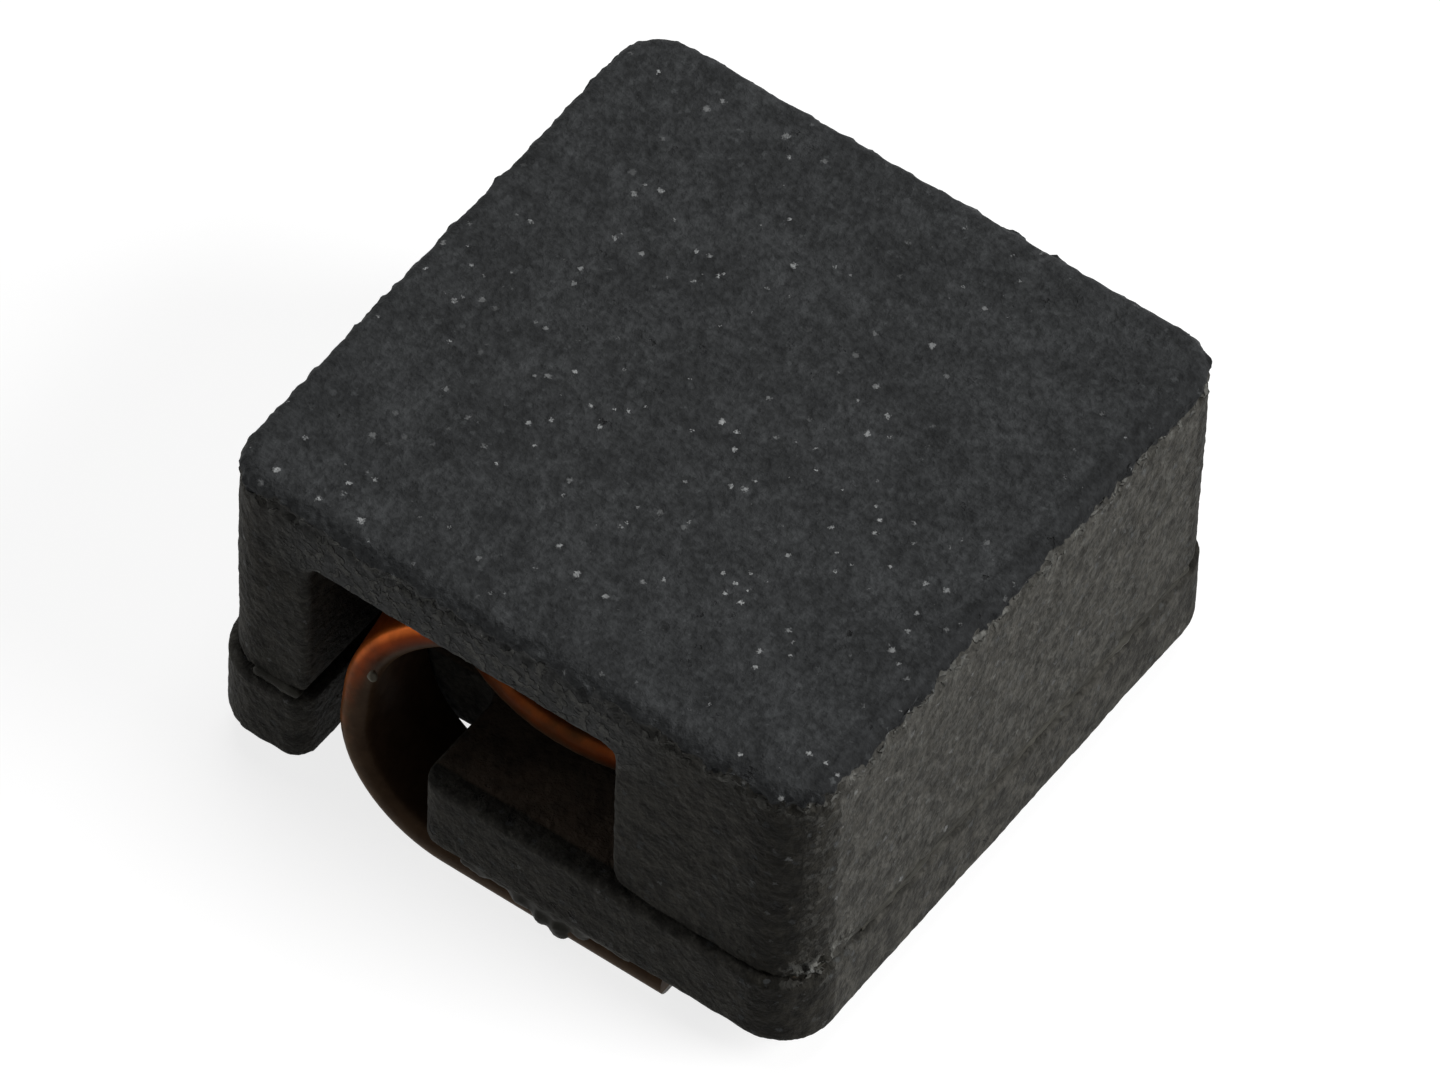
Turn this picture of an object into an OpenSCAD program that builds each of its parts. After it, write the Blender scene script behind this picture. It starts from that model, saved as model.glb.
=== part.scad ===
// Shielded power inductor for surface mounting: a coil of flat wire wound on edge,
// closed in a pressed powder core of two pieces. Both ends of the wire come out of
// a window in the core, bend down through a notch in the lower plate and lie under
// the core as the solder terminals. The front lead leaves the top of the coil in a
// wide bend, the back lead leaves the bottom of the coil in a tight one.
// Origin: centre of the footprint, on the plane of the terminals. X runs along the
// windows, Y from the front window to the back one, Z up.

/* [Core] */
// Width of the upper core, along the windows
core_w = 7.0; // [6.4:0.1:9]
// Depth of the upper core, from window face to window face
core_d = 7.0; // [6.4:0.1:9]
// Height of the upper core, plate and walls
upper_h = 2.92; // [2.6:0.05:4]
// Thickness of the lower core plate
lower_h = 0.93; // [0.6:0.05:1.2]
// Thickness of the upper core's plate, above the coil
plate_t = 0.87; // [0.5:0.05:1.1]
// Radius of the upright corners
corner_r = 0.53; // [0.3:0.05:0.8]
// Radius of the round shoulder that the punch leaves about the top face
shoulder_r = 0.17; // [0.1:0.01:0.3]
// Wall left between the coil's chamber and the side faces, at its thinnest
side_wall = 0.6; // [0.4:0.05:0.8]
// How far the lower core stands out past the upper one, each side
lower_over = 0.075; // [0:0.005:0.1]
// How far the lower core sits off centre, left and forward
lower_shift = 0.025; // [0:0.005:0.05]
// Radius of the lower core's bottom edge
lower_edge_r = 0.07; // [0.05:0.01:0.2]
// Radius of the lower core's top edge
lower_rim_r = 0.04; // [0.03:0.01:0.1]
// Thickness of the adhesive film between the two cores
bond_t = 0.03; // [0.02:0.005:0.05]
// How far the adhesive film stops short of the core's faces
bond_inset = 0.05; // [0.04:0.01:0.2]

/* [Windows and notches] */
// Width of the narrow pillar, left of each window
pillar_narrow = 1.08; // [0.9:0.02:1.3]
// Width of the wide pillar, right of each window
pillar_wide = 2.27; // [1.8:0.02:2.6]
// Radius of the windows' upper corners
window_r = 0.15; // [0.05:0.01:0.3]
// Radius of the pillars' feet, at the windows' lower corners
foot_r = 0.2; // [0.1:0.01:0.3]
// Width of the notches that let the leads down through the lower core
notch_w = 1.38; // [1.2:0.02:1.5]
// Radius of the notches' corners
notch_r = 0.22; // [0.1:0.02:0.3]
// Radius of the corners at the notches' mouths
mouth_r = 0.25; // [0.1:0.01:0.3]
// Step from the narrow pillar's edge to the notch's wall
notch_step = 0.04; // [0:0.01:0.1]
// Clearance behind a lead in its notch
notch_back_gap = 0.17; // [0.1:0.01:0.3]

/* [Winding] */
// Width of the flat wire, across the coil
wire_w = 1.25; // [0.9:0.05:1.3]
// Thickness of the flat wire, up the coil
wire_t = 0.33; // [0.25:0.01:0.36]
// Radius of the flat wire's corners
wire_r = 0.12; // [0.03:0.01:0.12]
// Whole turns between the leads, to which the leads add less than half a turn
coil_turns = 3; // [2:1:3]
// Rise of the coil in one turn
coil_pitch = 0.425; // [0.38:0.005:0.44]
// Clearance from the coil to the chamber's wall
coil_wall_gap = 0.15; // [0.1:0.01:0.25]
// Clearance from the coil to the centre leg
coil_leg_gap = 0.1; // [0.08:0.01:0.2]
// Clearance from the coil's top turn to the plate
coil_top_gap = 0.08; // [0.05:0.01:0.15]

/* [Leads] */
// Angle by which a lead leaves the coil before the middle of its window
exit_angle = 20; // [12:1:24]
// Clearance from a lead's outermost bend to the notch's wall
lead_side_gap = 0.24; // [0.12:0.02:0.3]
// Centre line radius of the front lead's lower bend
low_bend_r = 1.235; // [1:0.005:1.3]
// Upright stretch of the front lead between its bends
lead_upright = 0.33; // [0.1:0.01:0.5]
// Gap between a terminal and the lower core above it
terminal_gap = 0.04; // [0.01:0.01:0.06]
// How far the terminals' edges stay inside the lower core's faces
terminal_inset = 0.07; // [0:0.01:0.2]
// Reach of the terminals right of the middle
terminal_reach = 1.9; // [1.4:0.05:2.4]

/* [Hidden] */

eps = 0.01;              // overshoot of a cut past a face
coil_steps = 40;         // rings in one turn of the coil
bend_steps = 12;         // rings in a quarter bend
run_steps = 6;           // rings in a straight stretch of a lead
corner_steps = 3;        // points on one corner of the wire

// Heights, from the terminals' underside up
lower_z = wire_t + terminal_gap;
seam_z = lower_z + lower_h;
upper_z = seam_z + bond_t;
chamber_z = upper_z + upper_h - plate_t;
top_z = upper_z + upper_h;

// Radii about the centre leg's axis
chamber_r = min(core_w, core_d) / 2 - side_wall;
coil_r = chamber_r - coil_wall_gap;
coil_mid_r = coil_r - wire_w / 2;
leg_r = coil_r - wire_w - coil_leg_gap;

// Windows, the same on both faces
window_x0 = -core_w / 2 + pillar_narrow;
window_x1 = core_w / 2 - pillar_wide;
window_w = window_x1 - window_x0;

// Lower core and its notches
lower_w = core_w + 2 * lower_over;
lower_d = core_d + 2 * lower_over;
notch_x0 = window_x0 + notch_step;

// Lead stations, as centre lines
lead_x = notch_x0 + lead_side_gap + wire_t / 2;
terminal_z = wire_t / 2;
front_y = -(lower_d / 2 + lower_shift) + terminal_inset + wire_w / 2;
back_y = lower_d / 2 - lower_shift - terminal_inset - wire_w / 2;
coil_angle = 360 * coil_turns + 180 - 2 * exit_angle;
coil_top_z = chamber_z - coil_top_gap - wire_t / 2;
coil_low_z = coil_top_z - coil_pitch * coil_angle / 360;
top_bend_r = coil_top_z - terminal_z - low_bend_r - lead_upright;
back_bend_r = (coil_low_z - terminal_z) / 2;
front_notch_y = front_y + wire_w / 2 + notch_back_gap;
back_notch_y = back_y - wire_w / 2 - notch_back_gap;

// Place on a cubic curve that leaves y0 with slope m0 and levels out at y1 after length l
function ease(s, l, y0, m0, y1) =
    let (u = min(s / l, 1))
    y0 * (2 * pow(u, 3) - 3 * pow(u, 2) + 1) + m0 * l * (pow(u, 3) - 2 * pow(u, 2) + u)
    + y1 * (3 * pow(u, 2) - 2 * pow(u, 3));

// One lead, from the coil outward, in stations of [x, z, length so far]
function lead_profile(z, top_r, low_r) =
    let (start = coil_mid_r * sin(exit_angle), bend_x = lead_x + top_r,
         run = start - bend_x, quarter = PI / 2,
         drop_z = z - top_r, rise_z = terminal_z + low_r, end_x = lead_x + low_r,
         bend_s = run, drop_s = bend_s + quarter * top_r,
         rise_s = drop_s + drop_z - rise_z, end_s = rise_s + quarter * low_r)
    concat(
        [for (i = [1:run_steps]) let (u = i / run_steps) [start - u * run, z, u * run]],
        [for (i = [1:bend_steps]) let (a = 90 * i / bend_steps)
            [bend_x - top_r * sin(a), drop_z + top_r * cos(a), bend_s + quarter * top_r * a / 90]],
        [for (i = [0:bend_steps]) let (a = 90 * i / bend_steps) if (i > 0 || drop_z > rise_z + eps)
            [lead_x + low_r * (1 - cos(a)), rise_z - low_r * sin(a), rise_s + quarter * low_r * a / 90]],
        [for (i = [1:run_steps]) let (u = i / run_steps)
            [end_x + u * (terminal_reach - end_x), terminal_z, end_s + u * (terminal_reach - end_x)]]);

// The same lead in space, in stations of [centre, direction of the wire's width].
// side is -1 for the front lead and 1 for the back one.
function lead(z, top_r, low_r, side, terminal_y) =
    let (l = coil_mid_r * sin(exit_angle) - lead_x - top_r + PI / 2 * (top_r + low_r)
             + z - top_r - terminal_z - low_r)
    [for (p = lead_profile(z, top_r, low_r))
        let (turn = ease(p[2], l, exit_angle, 0, 0))
        [[p[0], ease(p[2], l, side * coil_mid_r * cos(exit_angle), side * tan(exit_angle),
                     terminal_y), p[1]],
         [sin(turn), side * cos(turn), 0]]];

// The coil, from the front lead down to the back one
function coil() =
    let (steps = ceil(coil_steps * coil_angle / 360), first = 270 + exit_angle)
    [for (i = [0:steps]) let (a = first + coil_angle * i / steps, d = [cos(a), sin(a), 0])
        [coil_mid_r * d + [0, 0, coil_top_z - (coil_top_z - coil_low_z) * i / steps], d]];

function backward(list) = [for (i = [len(list) - 1:-1:0]) list[i]];
function unit(v) = v / norm(v);

// Outline of the wire's section, round at its four corners
function wire_section() =
    [for (q = [0:3], i = [0:corner_steps - 1])
        let (a = 90 * q + 90 * i / (corner_steps - 1),
             sx = (q == 0 || q == 3) ? 1 : -1, sy = q < 2 ? 1 : -1)
        [sx * (wire_w / 2 - wire_r) + wire_r * cos(a), sy * (wire_t / 2 - wire_r) + wire_r * sin(a)]];

// Sweeps the wire's section along stations of [centre, direction of the wire's width]
module flat_wire(stations) {
    n = len(stations);
    section = wire_section();
    k = len(section);
    rings = [for (i = [0:n - 1])
        let (c = stations[i][0],
             t = unit(stations[min(i + 1, n - 1)][0] - stations[max(i - 1, 0)][0]),
             w = unit(stations[i][1] - (stations[i][1] * t) * t),
             b = cross(t, w))
        for (p = section) c + p[0] * w + p[1] * b];
    sides = [for (i = [0:n - 2], j = [0:k - 1])
        let (a = i * k + j, b = i * k + (j + 1) % k)
        each [[a, b + k, b], [a, a + k, b + k]]];
    ends = [[for (j = [0:k - 1]) j], [for (j = [k - 1:-1:0]) (n - 1) * k + j]];
    polyhedron(points = rings, faces = concat(sides, ends), convexity = 10);
}

// Upright round-cornered block from z = 0 up, with round bottom and top edges
module pressed_block(w, d, h, r, bottom_r, top_r) {
    hull()
        for (x = [-1, 1], y = [-1, 1])
            translate([x * (w / 2 - r), y * (d / 2 - r), 0])
                rotate_extrude($fn = 48) {
                    edge_profile(r, h, bottom_r, top_r);
                }
}

// Half section of a corner post: radius r, height h, with its outer edges rounded
module edge_profile(r, h, bottom_r, top_r) {
    steps = 6;
    low = bottom_r > 0
        ? [for (i = [0:steps]) let (a = 90 * i / steps)
              [r - bottom_r + bottom_r * sin(a), bottom_r - bottom_r * cos(a)]]
        : [[r, 0]];
    high = [for (i = [0:steps]) let (a = 90 * i / steps)
               [r - top_r + top_r * cos(a), h - top_r + top_r * sin(a)]];
    polygon(concat([[0, 0]], low, high, [[0, h]]));
}

// Flat outline with round corners
module rounded_outline(w, d, r) {
    square([w - 2 * r, d], center = true);
    square([w, d - 2 * r], center = true);
    for (x = [-1, 1], y = [-1, 1])
        translate([x * (w / 2 - r), y * (d / 2 - r)])
            circle(r = r, $fn = 48);
}

// What rounding takes off a corner at the origin that fills the first quarter
module corner_loss(r) {
    difference() {
        translate([-eps, -eps])
            square(r + eps);
        translate([r, r])
            circle(r = r, $fn = 32);
    }
}

// Section of a window, with round upper corners, from the seam up. The pillars' feet
// beside it are round too.
module window_section(h) {
    translate([window_x1, 0])
        corner_loss(foot_r);
    translate([window_x0, 0])
        mirror([1, 0])
            corner_loss(foot_r);
    translate([window_x0, -eps])
        square([window_w, h + eps - window_r]);
    translate([window_x0 + window_r, 0])
        square([window_w - 2 * window_r, h]);
    for (x = [window_x0 + window_r, window_x1 - window_r])
        translate([x, h - window_r])
            circle(r = window_r, $fn = 32);
}

// Plate, walls and centre leg, pressed as one piece
module upper_core() {
    wall_h = upper_h - plate_t;
    inner_y = leg_r / 2;
    color([0.2, 0.2, 0.21])
        translate([0, 0, upper_z]) {
            difference() {
                pressed_block(core_w, core_d, upper_h, corner_r, 0, shoulder_r);
                translate([0, 0, -eps])
                    cylinder(r = chamber_r, h = wall_h + eps, $fn = 96);
                for (side = [0, 1])
                    mirror([0, side, 0])
                        translate([0, -inner_y, 0])
                            rotate([90, 0, 0])
                                linear_extrude(core_d)
                                    window_section(wall_h);
            }
            cylinder(r = leg_r, h = wall_h + plate_t / 2, $fn = 96);
        }
}

// Notch in the front of the lower core, open to the front, as a flat outline
module notch_outline(inner_y, face_y) {
    translate([notch_x0 + notch_w, face_y])
        corner_loss(mouth_r);
    translate([notch_x0, face_y])
        mirror([1, 0])
            corner_loss(mouth_r);
    translate([notch_x0, face_y - 1])
        square([notch_w, inner_y - notch_r - face_y + 1]);
    translate([notch_x0 + notch_r, face_y - 1])
        square([notch_w - 2 * notch_r, inner_y - face_y + 1]);
    for (x = [notch_x0 + notch_r, notch_x0 + notch_w - notch_r])
        translate([x, inner_y - notch_r])
            circle(r = notch_r, $fn = 32);
}

// Plate that closes the magnetic path under the coil
module lower_core() {
    color([0.22, 0.215, 0.2])
        difference() {
            translate([-lower_shift, -lower_shift, lower_z])
                pressed_block(lower_w, lower_d, lower_h, corner_r + lower_over,
                              lower_edge_r, lower_rim_r);
            translate([0, 0, lower_z - eps])
                linear_extrude(lower_h + 2 * eps) {
                    notch_outline(front_notch_y, -lower_d / 2 - lower_shift);
                    mirror([0, 1])
                        notch_outline(-back_notch_y, -lower_d / 2 + lower_shift);
                }
        }
}

// Coil, leads and terminals: one length of flat wire from end to end
module winding() {
    color([0.72, 0.33, 0.12])
        flat_wire(concat(
            backward(lead(coil_top_z, top_bend_r, low_bend_r, -1, front_y)),
            coil(),
            lead(coil_low_z, back_bend_r, back_bend_r, 1, back_y)));
}

// Adhesive film in the seam, under both walls of the upper core
module core_bond() {
    color([0.12, 0.11, 0.1])
        translate([0, 0, seam_z])
            linear_extrude(bond_t)
                difference() {
                    rounded_outline(core_w - 2 * bond_inset, core_d - 2 * bond_inset,
                                    corner_r - bond_inset);
                    circle(r = chamber_r + bond_inset, $fn = 96);
                    translate([window_x0 - foot_r, -core_d])
                        square([window_w + 2 * foot_r, 2 * core_d]);
                }
}

upper_core();
lower_core();
winding();
core_bond();
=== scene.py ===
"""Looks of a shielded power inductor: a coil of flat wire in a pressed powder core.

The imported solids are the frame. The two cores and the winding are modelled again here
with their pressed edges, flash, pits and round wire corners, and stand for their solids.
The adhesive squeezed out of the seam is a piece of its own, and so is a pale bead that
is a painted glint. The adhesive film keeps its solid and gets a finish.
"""

import logging
import math
from dataclasses import dataclass, field
from enum import Enum
from typing import Any, Callable, Iterable, Mapping, Sequence

import bmesh
import bpy
import numpy as np
from mathutils import Matrix, Vector


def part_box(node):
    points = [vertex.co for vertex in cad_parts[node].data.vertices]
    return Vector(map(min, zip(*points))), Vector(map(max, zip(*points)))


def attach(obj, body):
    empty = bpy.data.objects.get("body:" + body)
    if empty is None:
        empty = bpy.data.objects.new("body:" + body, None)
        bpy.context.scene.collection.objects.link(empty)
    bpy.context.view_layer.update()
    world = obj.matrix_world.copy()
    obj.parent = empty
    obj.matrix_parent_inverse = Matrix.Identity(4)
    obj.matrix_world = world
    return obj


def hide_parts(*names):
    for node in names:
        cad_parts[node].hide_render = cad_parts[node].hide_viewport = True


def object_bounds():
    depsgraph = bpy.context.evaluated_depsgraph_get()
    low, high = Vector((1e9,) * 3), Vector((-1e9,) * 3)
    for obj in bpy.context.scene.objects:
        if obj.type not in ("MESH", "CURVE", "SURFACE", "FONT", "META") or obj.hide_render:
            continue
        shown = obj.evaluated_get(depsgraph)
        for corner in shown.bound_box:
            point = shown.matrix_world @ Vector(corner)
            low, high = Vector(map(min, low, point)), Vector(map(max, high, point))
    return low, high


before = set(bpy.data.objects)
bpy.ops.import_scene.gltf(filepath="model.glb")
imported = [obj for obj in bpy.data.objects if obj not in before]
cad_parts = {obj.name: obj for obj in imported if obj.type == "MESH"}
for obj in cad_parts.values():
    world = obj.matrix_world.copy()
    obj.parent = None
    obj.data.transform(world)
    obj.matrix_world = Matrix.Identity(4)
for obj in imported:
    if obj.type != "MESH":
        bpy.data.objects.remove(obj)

LOG = logging.getLogger("inductor")
MM = 0.001
TOUCH = 1e-3  # millimetres within which a point lies on a plane
UPRIGHT = 0.5  # millimetres that the ends of an upright edge lie apart in height, at least
BODY = "root"
CAD_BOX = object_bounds()

Colour = tuple[float, float, float]
Point = tuple[float, float, float]
EdgeTest = Callable[[Vector, Vector], bool]

WHITE: Colour = (1.0, 1.0, 1.0)


class Slot(Enum):
    """Material slots of the record."""

    POWDER = "pressed_powder"
    COPPER = "enamelled_copper"
    ADHESIVE = "adhesive"


class Cut(Enum):
    """How one solid works on another."""

    TAKE = "DIFFERENCE"
    JOIN = "UNION"


def node_box(node: str) -> tuple[Vector, Vector]:
    """Box of a solid of the frame.

    Args:
        node: Name of the solid.

    Returns:
        Its lowest and highest corner, in millimetres.
    """
    low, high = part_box(node)
    return low / MM, high / MM


def ramp(values: Any, start: float, end: float) -> Any:
    """Returns 0 where values are at start, 1 where they are at end, and shares between."""
    return np.clip((values - start) / (end - start), 0, 1)


def hill(values: np.ndarray, middle: float, width: float) -> np.ndarray:
    """Returns 1 where values are at the middle, falling off smoothly to both sides."""
    return np.exp(-(((values - middle) / width) ** 2))


def upright(a: Vector, b: Vector) -> bool:
    """Tells whether an edge with these ends stands upright."""
    return abs(a.z - b.z) > UPRIGHT


def level_at(z: float) -> EdgeTest:
    """Returns a test for edges that lie level at one height."""
    return lambda a, b: max(abs(a.z - z), abs(b.z - z)) < TOUCH


# ---------------------------------------------------------------- modelling


class Bench:
    """Modelling steps shared by the pieces. All of them work in millimetres."""

    weight_levels = 40

    @staticmethod
    def pick(obj: bpy.types.Object) -> None:
        """Makes one object the selected and active one.

        Args:
            obj: The object to work on.
        """
        for other in bpy.context.selected_objects:
            other.select_set(False)
        obj.select_set(True)
        bpy.context.view_layer.objects.active = obj

    @staticmethod
    def settle(name: str, size: Sequence[float] = (1, 1, 1)) -> bpy.types.Object:
        """Names the primitive that was just added and keeps its place and size in its mesh.

        Args:
            name: Name of the piece.
            size: Its stretch along each axis.

        Returns:
            The primitive.
        """
        obj = bpy.context.object
        obj.name = obj.data.name = name
        obj.scale = size
        bpy.ops.object.transform_apply(location=True, rotation=True, scale=True)
        return obj

    @staticmethod
    def block(name: str, low: Sequence[float], high: Sequence[float]) -> bpy.types.Object:
        """Adds an upright block.

        Args:
            name: Name of the piece.
            low: Lowest corner.
            high: Highest corner.

        Returns:
            The block.
        """
        bpy.ops.object.select_all(action="DESELECT")
        centre = [(a + b) / 2 for a, b in zip(low, high)]
        bpy.ops.mesh.primitive_cube_add(size=1, location=centre)
        return Bench.settle(name, [b - a for a, b in zip(low, high)])

    @staticmethod
    def post(name: str, radius: float, low: float, high: float, sides: int) -> bpy.types.Object:
        """Adds an upright round post on the middle axis.

        Args:
            name: Name of the piece.
            radius: Its radius.
            low: Height of its foot.
            high: Height of its top.
            sides: Number of its flat sides.

        Returns:
            The post.
        """
        bpy.ops.object.select_all(action="DESELECT")
        bpy.ops.mesh.primitive_cylinder_add(
            vertices=sides, radius=radius, depth=high - low, location=(0, 0, (low + high) / 2)
        )
        return Bench.settle(name)

    @staticmethod
    def bead(name: str, centre: Point, size: Point, rounds: int) -> bpy.types.Object:
        """Adds a round bead.

        Args:
            name: Name of the piece.
            centre: Its middle.
            size: Its half length along each axis.
            rounds: How often its faces are split.

        Returns:
            The bead.
        """
        bpy.ops.object.select_all(action="DESELECT")
        bpy.ops.mesh.primitive_ico_sphere_add(subdivisions=rounds, radius=1, location=centre)
        return Bench.settle(name, size)

    @staticmethod
    def round_edges(obj: bpy.types.Object, test: EdgeTest, radius: float, steps: int) -> None:
        """Rounds the edges that pass a test.

        Args:
            obj: The object to work on.
            test: Takes an edge's two ends.
            radius: Radius of the rounding.
            steps: Number of faces across it.
        """
        Bench.pick(obj)
        bpy.ops.object.mode_set(mode="EDIT")
        bpy.ops.mesh.select_mode(type="EDGE")
        bpy.ops.mesh.select_all(action="DESELECT")
        edges = bmesh.from_edit_mesh(obj.data).edges
        found = [edge for edge in edges if test(edge.verts[0].co, edge.verts[1].co)]
        if not found:
            raise ValueError(f"{obj.name}: no edge to round")
        for edge in found:
            edge.select_set(True)
        bmesh.update_edit_mesh(obj.data)
        bpy.ops.mesh.bevel(offset=radius, segments=steps, profile=0.5, affect="EDGES")
        bpy.ops.object.mode_set(mode="OBJECT")

    @staticmethod
    def apply(obj: bpy.types.Object, kind: str, **settings: Any) -> None:
        """Adds a modifier and applies it.

        Args:
            obj: The object to work on.
            kind: Type of the modifier.
            **settings: Its settings.
        """
        Bench.pick(obj)
        step = obj.modifiers.new(kind.title(), kind)
        for key, value in settings.items():
            setattr(step, key, value)
        bpy.ops.object.modifier_apply(modifier=step.name)

    @staticmethod
    def combine(obj: bpy.types.Object, tool: bpy.types.Object, how: Cut) -> None:
        """Cuts or joins a second solid, which is used up.

        Args:
            obj: The object to work on.
            tool: The second solid.
            how: Whether it is taken off or joined.
        """
        Bench.apply(obj, "BOOLEAN", operation=how.value, object=tool, solver="EXACT")
        bpy.data.objects.remove(tool)

    @staticmethod
    def remesh(obj: bpy.types.Object, voxel: float) -> None:
        """Turns a piece into one closed skin of small even faces."""
        Bench.apply(obj, "REMESH", mode="VOXEL", voxel_size=voxel, adaptivity=0.0)

    @staticmethod
    def points(obj: bpy.types.Object) -> np.ndarray:
        """Reads a piece's points.

        Args:
            obj: The object to read.

        Returns:
            Rows of x, y, z.
        """
        co = np.empty(len(obj.data.vertices) * 3)
        obj.data.vertices.foreach_get("co", co)
        return co.reshape(-1, 3)

    @staticmethod
    def mark(obj: bpy.types.Object, **marks: np.ndarray | float) -> None:
        """Stores values on each point, for the materials to read.

        Args:
            obj: The object to work on.
            **marks: For each name one value a point, or one for all points.
        """
        count = len(obj.data.vertices)
        for name, values in marks.items():
            layer = obj.data.attributes.new(name, "FLOAT", "POINT")
            layer.data.foreach_set("value", np.broadcast_to(values, count).astype(np.float32))

    @staticmethod
    def weigh(obj: bpy.types.Object, name: str, weights: np.ndarray | float) -> str:
        """Stores weights from 0 to 1 as a vertex group.

        Args:
            obj: The object to work on.
            name: Name of the group.
            weights: One weight a point, or one for all points.

        Returns:
            The group's name.
        """
        group = obj.vertex_groups.new(name=name)
        shares = np.broadcast_to(weights, len(obj.data.vertices))
        steps = np.rint(np.clip(shares, 0, 1) * Bench.weight_levels).astype(int)
        for level in range(1, Bench.weight_levels + 1):
            found = np.nonzero(steps == level)[0]
            if len(found):
                group.add(found.tolist(), level / Bench.weight_levels, "REPLACE")
        return group.name

    @staticmethod
    def roughen(
        obj: bpy.types.Object,
        name: str,
        grain: float,
        height: float,
        weights: np.ndarray | float = 1.0,
        middle: float = 0.5,
        direction: str = "NORMAL",
        contrast: float = 1.0,
    ) -> None:
        """Moves the points of a piece by a cloudy pattern.

        Args:
            obj: The object to work on.
            name: Name of the pattern.
            grain: Size of its grain.
            height: How far black and white lie apart.
            weights: Share of the move, one a point or one for all points.
            middle: Shade that stays where it is.
            direction: Direction of the move.
            contrast: Contrast of the pattern.
        """
        pattern = bpy.data.textures.new(name, "CLOUDS")
        pattern.noise_scale = grain
        pattern.noise_depth = 2
        pattern.contrast = contrast
        group = Bench.weigh(obj, name, weights)
        Bench.apply(
            obj,
            "DISPLACE",
            texture=pattern,
            texture_coords="LOCAL",
            direction=direction,
            strength=height,
            mid_level=middle,
            vertex_group=group,
        )
        obj.vertex_groups.remove(obj.vertex_groups[group])
        bpy.data.textures.remove(pattern)

    @staticmethod
    def to_metres(obj: bpy.types.Object, angle: float = 60) -> None:
        """Brings a finished piece to metres and smooths its shading.

        Args:
            obj: The finished piece.
            angle: Edges sharper than this, in degrees, stay sharp.
        """
        low, high = (np.array(corner) / MM for corner in CAD_BOX)
        inside = np.clip(Bench.points(obj), low, high)
        obj.data.vertices.foreach_set("co", inside.ravel())
        Bench.pick(obj)
        bpy.ops.object.mode_set(mode="EDIT")
        bpy.ops.mesh.select_all(action="SELECT")
        bpy.ops.mesh.normals_make_consistent(inside=False)
        bpy.ops.object.mode_set(mode="OBJECT")
        obj.scale = (MM, MM, MM)
        bpy.ops.object.transform_apply(location=True, rotation=True, scale=True)
        bpy.ops.object.shade_smooth_by_angle(angle=math.radians(angle))


def place(piece: bpy.types.Object, slot: Slot, *nodes: str) -> None:
    """Hangs a piece on the body and hides the solids of the frame that it replaces.

    Args:
        piece: The finished piece.
        slot: Slot that it takes its finish from. Not used.
        *nodes: Solids of the frame that it replaces.
    """
    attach(piece, BODY)
    if nodes:
        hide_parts(*nodes)
    LOG.info("%s: %d faces", piece.name, len(piece.data.polygons))


# ---------------------------------------------------------------- materials


def tone(colour: Colour, share: float) -> Colour:
    """Returns a colour times a share."""
    return tuple(c * share for c in colour)


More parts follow.
